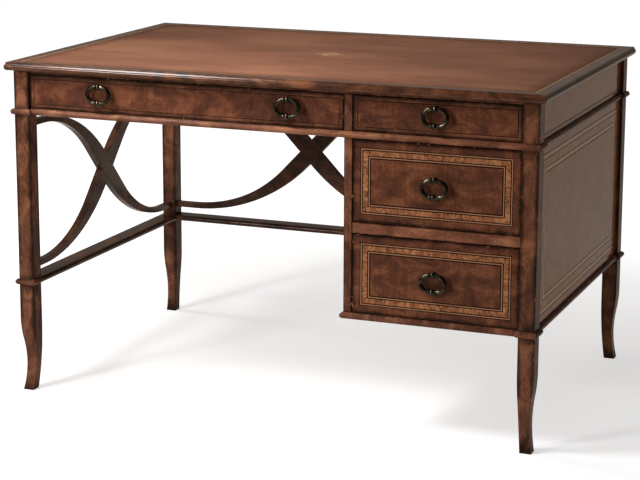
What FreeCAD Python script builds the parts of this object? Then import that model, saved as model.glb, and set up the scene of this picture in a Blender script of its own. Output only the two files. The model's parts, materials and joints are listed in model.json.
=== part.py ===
import FreeCAD, Part
import os
import re
import Sketcher
from FreeCAD import Placement, Rotation, Vector

# A writing desk on four swept legs, with a two-drawer pedestal hung from its right end and two drawers in
# the frieze. The front faces -Y, +X is to the right, and the origin is on the floor under the top's middle.

# Driving dimensions, in millimetres
SIZES = {
    # overall
    "desk_width": 1245,
    "desk_depth": 813,
    "desk_height": 762,
    # top
    "top_thick": 18,
    "top_overhang": 16,
    "edge_board_width": 27,
    "edge_nose": 3.2,
    "edge_step": 3.5,
    "leather_thick": 2,
    # legs: outer faces sweep in by knee_inset at the ankle and out again to the foot
    "leg_side": 36,
    "knee_top": 173,
    "knee_inset": 9,
    "ankle_height": 67,
    "calf_top": 146,
    "foot_taper": 8.5,
    # half-round beads: one under the frieze, one at the base of the pedestal
    "bead_height": 14,
    "frieze_height": 87,
    "base_bead_z": 250,
    # carcass
    "panel_setback": 8,
    "panel_thick": 18,
    "back_thick": 12,
    "rail_depth": 55,
    "top_rail_thick": 8,
    "side_thick": 19,
    "stile_depth": 22,
    "pedestal_width": 425,
    "lower_share": 0.4922,
    "mid_rail_height": 24.5,
    "bearer_width": 35,
    "runner_height": 15,
    # crossing braces: their ends from the beads above and below, widths at the ends and at the crossing, the
    # slope of the diagonal between the bends, and the share of the free length that each edge's bend takes
    "brace_gap_low": 27,
    "brace_gap_high": 24,
    "brace_end": 14,
    "brace_middle": 41,
    "brace_thick": 17,
    "brace_slope": 1.05,
    "brace_bend_inner": 0.75,
    "brace_bend_outer": 0.95,
    # drawers
    "front_thick": 20,
    "front_gap": 1.8,
    "box_clear": 2.5,
    "box_length": 560,
    "box_headroom": 20,
    "box_board": 12,
    "bottom_thick": 6,
    "bottom_rise": 8,
    "bottom_tongue": 5,
    "groove_play": 0.3,
    "run_gap": 0.3,
    "line_inset": 8.5,
    "line_width": 1.6,
    "line_depth": 1,
    # ring pulls
    "wide_pull_left": 178,
    "wide_pull_right": 124.5,
    "frieze_pull_rise": 21,
    "pedestal_pull_rise": 15,
    "ring_width": 63,
    "ring_drop": 36.5,
    "ring_wire": 10,
    "ring_side_r": 14,
    "ring_bead_r": 7.4,
    "ring_collar_r": 2.2,
    "ring_collar_sink": 1.2,
    "post_ball_r": 6,
    "post_reach": 12.5,
    "post_neck_r": 3,
    "post_rose_r": 5.5,
    "post_rose_thick": 1.5,
    "shank_r": 2,
    "shank_tail": 5,
    "shank_play": 0.2,
    "nut_r": 4,
    "nut_thick": 3.2,
    "pin_r": 2,
    "pin_play": 0.05,
    "ring_end_gap": 0.4,
    # blocks and screws that hold the top down
    "block_side": 22,
    "block_length": 50,
    "block_spread": 210,
    "screw_r": 2,
    "screw_head_r": 4,
    "screw_head": 2.5,
    "screw_bite": 10,
    "screw_play": 0.2,
}

# Places worked out from the driving dimensions, each from the ones above it
PLACES = {
    "leg_x": "desk_width / 2 - top_overhang",
    "leg_y": "desk_depth / 2 - top_overhang",
    "leg_inner_x": "leg_x - leg_side",
    "leg_inner_y": "leg_y - leg_side",
    "field_x": "desk_width / 2 - edge_board_width",
    "field_y": "desk_depth / 2 - edge_board_width",
    "frame_top": "desk_height - top_thick",
    "leather_z": "desk_height - leather_thick",
    "bead_r": "bead_height / 2",
    "frieze_floor": "frame_top - frieze_height",
    "frieze_bead_z": "frieze_floor - bead_height",
    "frieze_ceiling": "frame_top - top_rail_thick",
    "base_top": "base_bead_z + bead_height",
    "carcass_x": "leg_x - bead_r",
    "carcass_y": "leg_y - bead_r",
    "rail_back_y": "rail_depth - carcass_y",
    "panel_x": "leg_x - panel_setback",
    "panel_y": "leg_y - panel_setback",
    "panel_inner_x": "panel_x - panel_thick",
    "panel_inner_y": "panel_y - panel_thick",
    "pedestal_x": "leg_x - pedestal_width",
    "pedestal_inner_x": "pedestal_x + side_thick",
    "pedestal_middle": "(pedestal_inner_x + leg_inner_x) / 2",
    "wide_middle": "(pedestal_x - leg_inner_x) / 2",
    "mid_rail_z": "base_top + (frieze_bead_z - base_top - mid_rail_height) * lower_share",
    "mid_rail_top": "mid_rail_z + mid_rail_height",
    "sweep_r": "((knee_top - ankle_height)^2 + knee_inset^2) / (4 * knee_inset)",
    "foot_inset": "knee_inset - sweep_r + sqrt(sweep_r^2 - ankle_height^2)",
    "calf_r": "(calf_top^2 + foot_taper^2) / (2 * foot_taper)",
    "nose_height": "top_thick - edge_step",
    "nose_r": "((nose_height / 2)^2 + edge_nose^2) / (2 * edge_nose)",
    "brace_low": "base_top + brace_gap_low",
    "brace_high": "frieze_bead_z - brace_gap_high",
    "brace_mid_z": "(brace_low + brace_high) / 2",
    "brace_rise": "(brace_high - brace_low) / 2",
    "brace_cos": "1 / sqrt(1 + brace_slope^2)",
    "brace_sin": "brace_slope * brace_cos",
    "brace_half_tan": "brace_sin / (1 + brace_cos)",
    "brace_shift": "brace_middle / (2 * brace_cos)",
    "brace_inner_z": "brace_rise - brace_end / 2",
    "brace_outer_z": "brace_rise + brace_end / 2",
    "brace_inner_meet": "(brace_inner_z + brace_shift) / brace_slope",
    "brace_outer_meet": "(brace_outer_z - brace_shift) / brace_slope",
    "brace_inner_run": "brace_inner_meet / brace_cos",
    "brace_outer_run": "brace_outer_meet / brace_cos",
    "front_back_y": "front_thick - carcass_y",
    "box_end_y": "front_back_y + box_length",
    "groove_depth": "bottom_tongue + groove_play",
    "wire_r": "ring_wire / 2",
    "ring_end": "post_ball_r + ring_end_gap",
    "ring_half": "ring_width / 2 - wire_r - ring_end",
    "ring_mid": "ring_drop / 2",
    "ring_rest": "ring_half - ring_side_r",
    "ring_top_r": "(ring_rest^2 + ring_mid^2 - ring_side_r^2) / (2 * (ring_mid - ring_side_r))",
    "ring_turn": "ring_top_r / (ring_top_r - ring_side_r)",
    "ring_turn_x": "ring_end + ring_rest * ring_turn",
    "ring_turn_z": "ring_top_r - (ring_top_r - ring_mid) * ring_turn",
    "ring_collar_x": "ring_bead_r + ring_collar_r - ring_collar_sink",
    "pull_y": "-carcass_y - post_reach",
    "neck_y": "sqrt(post_ball_r^2 - post_neck_r^2)",
    "rose_y": "post_reach - post_rose_thick",
    "shank_y": "post_reach + front_thick + shank_tail",
}

doc = FreeCAD.newDocument("pedestal_desk")
NODES = []


# The two sheets: plain driving numbers, and the places that follow from them

def fill_sheet(name, cells):
    """A sheet with one named row for each cell."""
    sheet = doc.addObject("Spreadsheet::Sheet", name)
    for row, (alias, content) in enumerate(cells.items(), start=1):
        sheet.set(f"A{row}", alias)
        sheet.set(f"B{row}", content)
        sheet.setAlias(f"B{row}", alias)
    return sheet


def rule(text):
    """An expression in plain names, with the sheet of each name put before it."""
    def with_sheet(word):
        name = word.group()
        if name in SIZES:
            return f"sizes.{name}"
        if name in PLACES:
            return f"places.{name}"
        return name
    return re.sub(r"[a-z]\w*", with_sheet, str(text))


fill_sheet("sizes", {alias: str(value) for alias, value in SIZES.items()})
places = fill_sheet("places", {alias: "=" + rule(text) for alias, text in PLACES.items()})
doc.recompute()


def number(text):
    """The present value of an expression."""
    return float(places.evalExpression(rule(text)))


def bind(thing, **rules):
    """Tie properties of a piece to the sheets."""
    for name, text in rules.items():
        thing.setExpression(name, rule(text))
    return thing


def stand_at(thing, x, y, z):
    """Tie the place of a piece to the sheets."""
    for axis, text in zip("xyz", (x, y, z)):
        thing.setExpression(f"Placement.Base.{axis}", rule(text))
    return thing


def keep(piece):
    """Count a finished piece as a node of the desk."""
    NODES.append(piece)
    return piece


# Boards, rods and their joining

def add(kind, label):
    thing = doc.addObject(kind, label)
    thing.Label = label
    return thing


def length_of(span):
    low, high = span
    return f"({high}) - ({low})"


def board(label, x, y, z):
    """A plain board between two values along each axis."""
    box = add("Part::Box", label)
    bind(box, Length=length_of(x), Width=length_of(y), Height=length_of(z))
    return stand_at(box, x[0], y[0], z[0])


ROD_TURNS = {
    "x": Rotation(Vector(0, 1, 0), 90),
    "y": Rotation(Vector(1, 0, 0), -90),
    "z": Rotation(),
}


def rod(label, axis, span, across, radius):
    """A round rod along an axis; across gives its other two coordinates in x, y, z order."""
    bar = add("Part::Cylinder", label)
    bar.Placement = Placement(Vector(), ROD_TURNS[axis])
    bind(bar, Radius=radius, Height=length_of(span))
    start = list(across)
    start.insert("xyz".index(axis), span[0])
    return stand_at(bar, *start)


def fused(label, *pieces):
    joined = add("Part::MultiFuse", label)
    joined.Shapes = list(pieces)
    joined.Refine = True
    return joined


def cut(label, base, *tools):
    removed = tools[0]
    if len(tools) > 1:
        removed = fused(label + "_waste", *tools)
    shaped = add("Part::Cut", label)
    shaped.Base = base
    shaped.Tool = removed
    return shaped


def common(label, first, second):
    shared = add("Part::Common", label)
    shared.Base = first
    shared.Tool = second
    return shared


def group(label, *pieces):
    """Separate like pieces that share one node."""
    together = add("Part::Compound", label)
    together.Links = list(pieces)
    return together


def bead_board(label, x, y, floor, noses):
    """A board as thick as the bead, with a half-round nose standing out on the named sides."""
    middle = f"{floor} + bead_r"
    edges_x = {"left": x[0], "right": x[1]}
    edges_y = {"front": y[0], "back": y[1]}
    rods = []
    for nose in noses:
        name = f"{label}_{nose}"
        if nose in edges_x:
            rods.append(rod(name, "y", y, (edges_x[nose], middle), "bead_r"))
        else:
            rods.append(rod(name, "x", x, (edges_y[nose], middle), "bead_r"))
    stock = board(label + "_stock", x, y, (floor, f"{floor} + bead_height"))
    return fused(label, stock, *rods)


def widened(span):
    return (f"{span[0]} - bead_r", f"{span[1]} + bead_r")


def mitred_bead(label, x, y, floor):
    """A board with a half-round nose on all four sides, mitred at the corners."""
    across = bead_board(label + "_across", x, widened(y), floor, ["left", "right"])
    along = bead_board(label + "_along", widened(x), y, floor, ["front", "back"])
    return common(label, across, along)


# Sketched outlines

def arc_between(start, end, radius, turn):
    """An arc under a half circle; turn 1 keeps its centre on the left of the way, -1 on the right."""
    chord = end - start
    height = (radius ** 2 - (chord.Length / 2) ** 2) ** 0.5
    side = Vector(-chord.y, chord.x, 0).normalize() * turn
    circle = Part.Circle((start + end) * 0.5 + side * height, Vector(0, 0, 1), radius)
    first, last = (start, end) if turn > 0 else (end, start)
    return Part.ArcOfCircle(circle, circle.parameter(first), circle.parameter(last))


def tie(sketch, kind, text, *where):
    """A dimension of a sketch, tied to the sheets."""
    index = sketch.addConstraint(Sketcher.Constraint(kind, *where, number(text)))
    sketch.setExpression(f"Constraints[{index}]", rule(text))


def outline(sketch, corners, arcs=None, closed=True):
    """Lines through corners given as pairs of expressions; arcs maps a corner to the arc that leaves it."""
    arcs = arcs or {}
    points = [Vector(number(x), number(y), 0) for x, y in corners]
    count = len(points) if closed else len(points) - 1
    ends = []
    for index in range(count):
        here = points[index]
        there = points[(index + 1) % len(points)]
        if index in arcs:
            radius, turn = arcs[index]
            edge = sketch.addGeometry(arc_between(here, there, number(radius), turn), False)
            tie(sketch, "Radius", radius, edge)
            ends.append((edge, 1, 2) if turn > 0 else (edge, 2, 1))
        else:
            edge = sketch.addGeometry(Part.LineSegment(here, there), False)
            ends.append((edge, 1, 2))
    for index in range(count if closed else count - 1):
        edge, _, finish = ends[index]
        following, start, _ = ends[(index + 1) % count]
        sketch.addConstraint(Sketcher.Constraint("Coincident", edge, finish, following, start))
    for index, (x, y) in enumerate(corners):
        edge, start, _ = ends[index] if index < count else (ends[-1][0], ends[-1][2], None)
        tie(sketch, "DistanceX", x, -1, 1, edge, start)
        tie(sketch, "DistanceY", y, -1, 1, edge, start)


def circle_at(sketch, x, y, radius):
    middle = Vector(number(x), number(y), 0)
    edge = sketch.addGeometry(Part.Circle(middle, Vector(0, 0, 1), number(radius)), False)
    tie(sketch, "Radius", radius, edge)
    tie(sketch, "DistanceX", x, -1, 1, edge, 3)
    tie(sketch, "DistanceY", y, -1, 1, edge, 3)


def sketch_on(body, plane, name):
    """An empty sketch on one of the body's own planes."""
    roles = {feature.Role: feature for feature in body.Origin.OriginFeatures}
    sketch = body.newObject("Sketcher::SketchObject", f"{body.Name}_{name}")
    sketch.AttachmentSupport = [(roles[plane], "")]
    sketch.MapMode = "FlatFace"
    return sketch


def pad(body, sketch, length, **settings):
    doc.recompute()
    feature = body.newObject("PartDesign::Pad", f"{sketch.Name}_pad")
    feature.Profile = sketch
    for name, value in settings.items():
        setattr(feature, name, value)
    bind(feature, Length=length)
    return feature


def pocket(body, sketch, length=None, **settings):
    """A cut along the sketch's normal: to a depth, or through everything."""
    doc.recompute()
    before = body.Shape.Volume
    feature = body.newObject("PartDesign::Pocket", f"{sketch.Name}_pocket")
    feature.Profile = sketch
    for name, value in settings.items():
        setattr(feature, name, value)
    if length is None:
        feature.Type = "ThroughAll"
    else:
        bind(feature, Length=length)
    doc.recompute()
    if not body.Shape.Volume < before:
        raise RuntimeError(f"{feature.Name} removed nothing")
    return feature


def new_body(label):
    return add("PartDesign::Body", label)


# The top: a core panel framed by four mitred boards, with leather let in flush

def edge_board(label, length, turn, x, y):
    """A moulded board, its nose towards -Y before it is turned, mitred at both ends."""
    body = new_body(label)
    profile = sketch_on(body, "YZ_Plane", "profile")
    corners = [
        ("edge_board_width", "0"),
        ("edge_nose", "0"),
        ("edge_nose", "nose_height"),
        ("edge_nose", "top_thick"),
        ("edge_board_width", "top_thick"),
    ]
    outline(profile, corners, {1: ("nose_r", -1)})
    pad(body, profile, length, Midplane=True)
    mitres = sketch_on(body, "XY_Plane", "mitres")
    for side in ("", "-"):
        tip = f"{side}({length} / 2 + edge_nose)"
        inner = f"{side}({length} / 2 - edge_board_width - edge_nose)"
        outline(mitres, [
            (tip, "-edge_nose"),
            (tip, "edge_board_width + edge_nose"),
            (inner, "edge_board_width + edge_nose"),
        ])
    pocket(body, mitres, Reversed=True)
    body.Placement = Placement(Vector(), Rotation(Vector(0, 0, 1), turn))
    return keep(stand_at(body, x, y, "frame_top"))


edge_board("top_edge_front", "desk_width", 0, "0", "-desk_depth / 2")
edge_board("top_edge_right", "desk_depth", 90, "desk_width / 2", "0")
edge_board("top_edge_back", "desk_width", 180, "0", "desk_depth / 2")
edge_board("top_edge_left", "desk_depth", 270, "-desk_width / 2", "0")

FIELD_X = ("-field_x", "field_x")
FIELD_Y = ("-field_y", "field_y")
keep(board("writing_leather", FIELD_X, FIELD_Y, ("leather_z", "desk_height")))


def around(centre, length):
    return (f"{centre} - {length} / 2", f"{centre} + {length} / 2")


# Blocks in the corner between aprons and top, each with a screw up into the panel
LEFT_BLOCK = ("-panel_inner_x", "-panel_inner_x + block_side")
RIGHT_BLOCK = ("panel_inner_x - block_side", "panel_inner_x")
BACK_BLOCK = ("panel_inner_y - block_side", "panel_inner_y")
BLOCK_PLACES = [
    (LEFT_BLOCK, around("-block_spread", "block_length")),
    (LEFT_BLOCK, around("block_spread", "block_length")),
    (RIGHT_BLOCK, around("-block_spread", "block_length")),
    (RIGHT_BLOCK, around("block_spread", "block_length")),
    (around("wide_middle", "block_length"), BACK_BLOCK),
    (around("pedestal_middle", "block_length"), BACK_BLOCK),
]


def middle_of(span):
    return f"(({span[0]}) + ({span[1]})) / 2"


BLOCK_FLOOR = "frame_top - block_side"
SCREW_TIP = "frame_top + screw_bite"
blocks = []
screws = []
screw_holes = []
for count, (block_x, block_y) in enumerate(BLOCK_PLACES, start=1):
    screw_at = (middle_of(block_x), middle_of(block_y))
    hole = rod(f"screw_hole_{count}", "z", (BLOCK_FLOOR, SCREW_TIP), screw_at, "screw_r + screw_play")
    stock = board(f"block_stock_{count}", block_x, block_y, (BLOCK_FLOOR, "frame_top"))
    blocks.append(cut(f"block_{count}", stock, hole))
    shank = rod(f"screw_shank_{count}", "z", (BLOCK_FLOOR, SCREW_TIP), screw_at, "screw_r")
    head_span = (f"{BLOCK_FLOOR} - screw_head", BLOCK_FLOOR)
    head = rod(f"screw_head_{count}", "z", head_span, screw_at, "screw_head_r")
    screws.append(fused(f"screw_{count}", head, shank))
    screw_holes.append(hole)

panel_stock = board("top_panel_stock", FIELD_X, FIELD_Y, ("frame_top", "leather_z"))
keep(cut("top_panel", panel_stock, *screw_holes))
keep(group("top_blocks", *blocks))
keep(group("top_screws", *screws))


# Legs: one curved template shapes both pairs of faces

def leg_outline(sketch):
    """The template: outer edge at zero, swept in at the ankle, inner edge tapered to the foot."""
    corners = [
        ("0", "frame_top"),
        ("0", "knee_top"),
        ("knee_inset / 2", "(knee_top + ankle_height) / 2"),
        ("foot_inset", "0"),
        ("leg_side - foot_taper", "0"),
        ("leg_side", "calf_top"),
        ("leg_side", "frame_top"),
    ]
    arcs = {1: ("sweep_r", 1), 2: ("sweep_r", -1), 4: ("calf_r", 1)}
    outline(sketch, corners, arcs)


def leg(label, turn, x, y):
    """A leg whose outer corner is at its own origin, then turned to its corner of the desk."""
    body = new_body(label)
    front = sketch_on(body, "XZ_Plane", "front")
    leg_outline(front)
    pad(body, front, "leg_side", Reversed=True)
    side = sketch_on(body, "YZ_Plane", "side")
    leg_outline(side)
    outline(side, [
        ("-leg_side", "-leg_side"),
        ("2 * leg_side", "-leg_side"),
        ("2 * leg_side", "frame_top + leg_side"),
        ("-leg_side", "frame_top + leg_side"),
    ])
    pocket(body, side, Reversed=True)
    body.Placement = Placement(Vector(), Rotation(Vector(0, 0, 1), turn))
    return keep(stand_at(body, x, y, "0"))


leg("leg_front_left", 0, "-leg_x", "-leg_y")
leg("leg_front_right", 90, "leg_x", "-leg_y")
leg("leg_back_right", 180, "leg_x", "leg_y")
leg("leg_back_left", 270, "-leg_x", "leg_y")

# Collars: half-round beads mitred round the legs
LEG_X = {"left": ("-leg_x", "-leg_inner_x"), "right": ("leg_inner_x", "leg_x")}
LEG_Y = {"front": ("-leg_y", "-leg_inner_y"), "back": ("leg_inner_y", "leg_y")}
CORNERS = [("front", "left"), ("front", "right"), ("back", "right"), ("back", "left")]
FULL_HEIGHT = ("0", "frame_top")
frame_block = board("frame_block", ("-leg_x", "leg_x"), ("-leg_y", "leg_y"), FULL_HEIGHT)
leg_block = {
    (end, side): board(f"leg_block_{end}_{side}", LEG_X[side], LEG_Y[end], FULL_HEIGHT)
    for end, side in CORNERS
}


def outer_collar(level, floor, end, side):
    """A collar on the two outer faces of a leg, with its noses returned at both ends."""
    name = f"{level}_collar_{end}_{side}"
    ring = mitred_bead(name + "_ring", LEG_X[side], LEG_Y[end], floor)
    return cut(name, ring, frame_block)


keep(group("frieze_collars", *[outer_collar("frieze", "frieze_bead_z", *corner) for corner in CORNERS]))

front_left_ring = mitred_bead("front_left_ring", LEG_X["left"], LEG_Y["front"], "base_bead_z")
back_left_ring = mitred_bead("back_left_ring", LEG_X["left"], LEG_Y["back"], "base_bead_z")
stretcher_way_front = board(
    "stretcher_way_front", widened(LEG_X["left"]), ("-leg_inner_y", "-leg_inner_y + bead_r"), FULL_HEIGHT)
stretcher_way_back = board(
    "stretcher_way_back", widened(LEG_X["left"]), ("leg_inner_y - bead_r", "leg_inner_y"), FULL_HEIGHT)
stretcher_way_right = board(
    "stretcher_way_right", ("-leg_inner_x", "-leg_inner_x + bead_r"), widened(LEG_Y["back"]), FULL_HEIGHT)
keep(group(
    "lower_collars",
    cut("lower_collar_front_left", front_left_ring, leg_block["front", "left"], stretcher_way_front),
    cut("lower_collar_back_left", back_left_ring, leg_block["back", "left"],
        stretcher_way_back, stretcher_way_right),
    outer_collar("lower", "base_bead_z", "front", "right"),
    outer_collar("lower", "base_bead_z", "back", "right"),
))

# Frieze: rails, aprons, divider and partition
BETWEEN_LEGS_X = ("-leg_inner_x", "leg_inner_x")
BETWEEN_LEGS_Y = ("-leg_inner_y", "leg_inner_y")
FRONT_RAIL_Y = ("-carcass_y", "rail_back_y")
FRIEZE_Z = ("frieze_floor", "frame_top")
FRIEZE_OPENING_Z = ("frieze_floor", "frieze_ceiling")
PARTITION_X = ("pedestal_x", "pedestal_inner_x")
LEFT_PANEL_X = ("-panel_x", "-panel_inner_x")
RIGHT_PANEL_X = ("panel_inner_x", "panel_x")
BACK_PANEL_Y = ("panel_inner_y", "panel_y")

BEAD_RAILS = {
    "front_bead_rail": (BETWEEN_LEGS_X, FRONT_RAIL_Y, "front"),
    "bead_rail_left": (("-carcass_x", "-panel_inner_x"), BETWEEN_LEGS_Y, "left"),
    "bead_rail_right": (("panel_inner_x", "carcass_x"), BETWEEN_LEGS_Y, "right"),
    "bead_rail_back": (BETWEEN_LEGS_X, ("panel_inner_y", "carcass_y"), "back"),
}
for name, (rail_x, rail_y, nose) in BEAD_RAILS.items():
    keep(bead_board(name, rail_x, rail_y, "frieze_bead_z", [nose]))
keep(board("front_top_rail", BETWEEN_LEGS_X, FRONT_RAIL_Y, ("frieze_ceiling", "frame_top")))
keep(board("apron_left", LEFT_PANEL_X, BETWEEN_LEGS_Y, FRIEZE_Z))
keep(board("apron_right", RIGHT_PANEL_X, BETWEEN_LEGS_Y, FRIEZE_Z))
keep(board("apron_back", BETWEEN_LEGS_X, BACK_PANEL_Y, FRIEZE_Z))
keep(board("drawer_divider", PARTITION_X, ("-carcass_y", "front_back_y"), FRIEZE_OPENING_Z))
keep(board("frieze_partition", PARTITION_X, ("front_back_y", "panel_inner_y"), FRIEZE_OPENING_Z))

# Bearers run from the front rail to the back rail, under the sides of the frieze drawers
BEARER_Y = ("rail_back_y", "panel_inner_y")
BEARER_Z = ("frieze_bead_z", "frieze_floor")
BEARER_SPANS = {
    "left": ("-leg_inner_x", "-leg_inner_x + bearer_width"),
    "middle": around("(pedestal_x + pedestal_inner_x) / 2", "(2 * bearer_width)"),
    "right": ("leg_inner_x - bearer_width", "leg_inner_x"),
}
keep(group("frieze_bearers", *[
    board(f"bearer_{place}", span, BEARER_Y, BEARER_Z) for place, span in BEARER_SPANS.items()
]))

# Stretchers: low rails with a half-round nose on both long edges
left_stretcher = bead_board(
    "stretcher_left_stock", LEG_X["left"], BETWEEN_LEGS_Y, "base_bead_z", ["left", "right"])
stretcher_corner = board(
    "stretcher_corner", ("-leg_inner_x", "-leg_inner_x + bead_r"), ("leg_inner_y - bead_r", "leg_inner_y"),
    FULL_HEIGHT)
keep(cut("stretcher_left", left_stretcher, stretcher_corner))
keep(bead_board(
    "stretcher_back", ("-leg_inner_x", "pedestal_x"), LEG_Y["back"], "base_bead_z", ["front", "back"]))


# Crossing braces: two S-curved bands, wide along the diagonal, half-lapped into each other

def brace_outline(sketch, half, lean):
    """A band from one end to the other; lean is 1 where it rises along the way and -1 where it falls."""
    # each bend touches the flat end and the diagonal at the same length from the point where those meet, a
    # share of the shorter of the two runs that are free on either side of that point
    inner = f"brace_bend_inner * min(brace_inner_run; ({half}) - brace_inner_meet)"
    outer = f"brace_bend_outer * min(brace_outer_run; ({half}) - brace_outer_meet)"
    edge = [
        (f"-({half})", "-brace_outer_z"),
        (f"-brace_outer_meet - {outer}", "-brace_outer_z"),
        (f"{outer} * brace_cos - brace_outer_meet", f"{outer} * brace_sin - brace_outer_z"),
        (f"brace_inner_meet - {inner} * brace_cos", f"brace_inner_z - {inner} * brace_sin"),
        (f"brace_inner_meet + {inner}", "brace_inner_z"),
        (half, "brace_inner_z"),
    ]
    corners = [(f"{side} * ({x})", f"{side * lean} * ({z})") for side in (1, -1) for x, z in edge]
    bends = {1: (f"{outer} / brace_half_tan", lean), 3: (f"{inner} / brace_half_tan", -lean)}
    bends.update({number + len(edge): bend for number, bend in bends.items()})
    outline(sketch, corners, bends)


def brace(label, half, lean, turn, x, y):
    """A band in an upright plane, halved on one side where the other band crosses it."""
    body = new_body(label)
    band = sketch_on(body, "XY_Plane", "band")
    brace_outline(band, half, lean)
    pad(body, band, "brace_thick", Midplane=True)
    lap = sketch_on(body, "XY_Plane", "lap")
    brace_outline(lap, half, -lean)
    pocket(body, lap, "brace_thick / 2", Reversed=lean > 0)
    body.Placement = Placement(Vector(), turn)
    return keep(stand_at(body, x, y, "brace_mid_z"))


ALONG_Y = Rotation(Vector(1, 1, 1), 120)
ALONG_X = Rotation(Vector(1, 0, 0), 90)
BACK_BRACE_HALF = "(pedestal_x + leg_inner_x) / 2"
for name, lean in (("rising", 1), ("falling", -1)):
    brace(f"brace_left_{name}", "leg_inner_y", lean, ALONG_Y, "-leg_x + leg_side / 2", "0")
    brace(f"brace_back_{name}", BACK_BRACE_HALF, lean, ALONG_X, "wide_middle", "leg_y - leg_side / 2")

# Pedestal: base board with a half-round edge, sides, stile, back, rail and runners
PEDESTAL_Z = ("base_top", "frieze_bead_z")
PEDESTAL_X = ("pedestal_inner_x", "leg_inner_x")
base_stock = mitred_bead(
    "pedestal_base_stock", ("pedestal_x", "carcass_x"), ("-carcass_y", "carcass_y"), "base_bead_z")
base_notch = board(
    "base_notch", ("pedestal_x - bead_r", "pedestal_x"), widened(LEG_Y["back"]), FULL_HEIGHT)
keep(cut("pedestal_base", base_stock, leg_block["front", "right"], leg_block["back", "right"], base_notch))
keep(board("pedestal_stile", PARTITION_X, ("-carcass_y", "stile_depth - carcass_y"), PEDESTAL_Z))
keep(board("pedestal_side_left", PARTITION_X, ("stile_depth - carcass_y", "panel_y"), PEDESTAL_Z))
keep(board("pedestal_side_right", RIGHT_PANEL_X, BETWEEN_LEGS_Y, PEDESTAL_Z))
keep(board("pedestal_back", PEDESTAL_X, ("panel_y - back_thick", "panel_y"), PEDESTAL_Z))
keep(board("pedestal_rail", PEDESTAL_X, FRONT_RAIL_Y, ("mid_rail_z", "mid_rail_top")))
RUNNER_Y = ("rail_back_y", "leg_inner_y")
RUNNER_Z = ("mid_rail_top - runner_height", "mid_rail_top")
keep(group(
    "pedestal_runners",
    board("runner_left", ("pedestal_inner_x", "pedestal_inner_x + bearer_width"), RUNNER_Y, RUNNER_Z),
    board("runner_right", ("panel_inner_x - bearer_width", "panel_inner_x"), RUNNER_Y, RUNNER_Z),
))


# Ring pulls: an oval ring on a pin through the ball of a post

def ring(label, x, z):
    """A ring hanging from its pin, with a bead between two small collars at its lowest point."""
    body = new_body(f"{label}_loop")
    path = sketch_on(body, "XZ_Plane", "path")
    corners = [
        ("0", "-ring_drop"),
        ("ring_end", "-ring_drop"),
        ("ring_turn_x", "ring_turn_z - ring_drop"),
        ("ring_turn_x", "-ring_turn_z"),
        ("ring_end", "0"),
    ]
    arcs = {1: ("ring_top_r", 1), 2: ("ring_side_r", 1), 3: ("ring_top_r", 1)}
    outline(path, corners, arcs, closed=False)
    section = sketch_on(body, "YZ_Plane", "section")
    circle_at(section, "0", "-ring_drop", "wire_r")
    doc.recompute()
    wire = body.newObject("PartDesign::AdditivePipe", f"{label}_wire")
    wire.Profile = section
    wire.Spine = (path, [f"Edge{count}" for count in range(1, len(corners))])
    doc.recompute()
    roles = {feature.Role: feature for feature in body.Origin.OriginFeatures}
    whole = body.newObject("PartDesign::Mirrored", f"{label}_mirror")
    whole.Originals = [wire]
    whole.MirrorPlane = (roles["YZ_Plane"], [""])
    body.Tip = whole
    pin = sketch_on(body, "YZ_Plane", "pin")
    circle_at(pin, "0", "0", "pin_r")
    pad(body, pin, "2 * (ring_end + wire_r)", Midplane=True)
    bead = add("Part::Sphere", f"{label}_bead")
    bead.Placement = Placement(Vector(), ROD_TURNS["x"])
    bind(bead, Radius="ring_bead_r")
    stand_at(bead, "0", "0", "-ring_drop")
    collars = []
    for side in ("-", ""):
        collar = add("Part::Torus", f"{label}_collar")
        collar.Placement = Placement(Vector(), ROD_TURNS["x"])
        bind(collar, Radius1="wire_r - ring_collar_sink", Radius2="ring_collar_r")
        collars.append(stand_at(collar, f"{side}ring_collar_x", "0", "-ring_drop"))
    return keep(stand_at(fused(label, body, bead, *collars), x, "pull_y", z))


def post(label, x, z):
    """A ball on a neck with a small rose, its shank through the drawer front and a nut behind."""
    body = new_body(label)
    profile = sketch_on(body, "XY_Plane", "profile")
    corners = [
        ("0", "-post_ball_r"),
        ("post_neck_r", "neck_y"),
        ("post_neck_r", "rose_y"),
        ("post_rose_r", "rose_y"),
        ("post_rose_r", "post_reach"),
        ("shank_r", "post_reach"),
        ("shank_r", "shank_y"),
        ("0", "shank_y"),
    ]
    outline(profile, corners, {0: ("post_ball_r", 1)})
    doc.recompute()
    turned = body.newObject("PartDesign::Revolution", f"{label}_turned")
    turned.Profile = profile
    turned.ReferenceAxis = (profile, ["V_Axis"])
    bore = sketch_on(body, "YZ_Plane", "bore")
    circle_at(bore, "0", "0", "pin_r + pin_play")
    pocket(body, bore, Midplane=True)
    nut_blank = add("Part::Prism", f"{label}_nut_blank")
    nut_blank.Polygon = 6
    nut_blank.Placement = Placement(Vector(), ROD_TURNS["y"])
    bind(nut_blank, Circumradius="nut_r", Height="nut_thick")
    stand_at(nut_blank, "0", "post_reach + front_thick", "0")
    thread = rod(f"{label}_thread", "y", ("post_reach", "shank_y"), ("0", "0"), "shank_r + pin_play")
    nut = cut(f"{label}_nut", nut_blank, thread)
    return stand_at(group(f"{label}_pair", body, nut), x, "pull_y", z)


# Drawers: a front, a box of two sides and a back, and a bottom let into grooves

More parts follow.
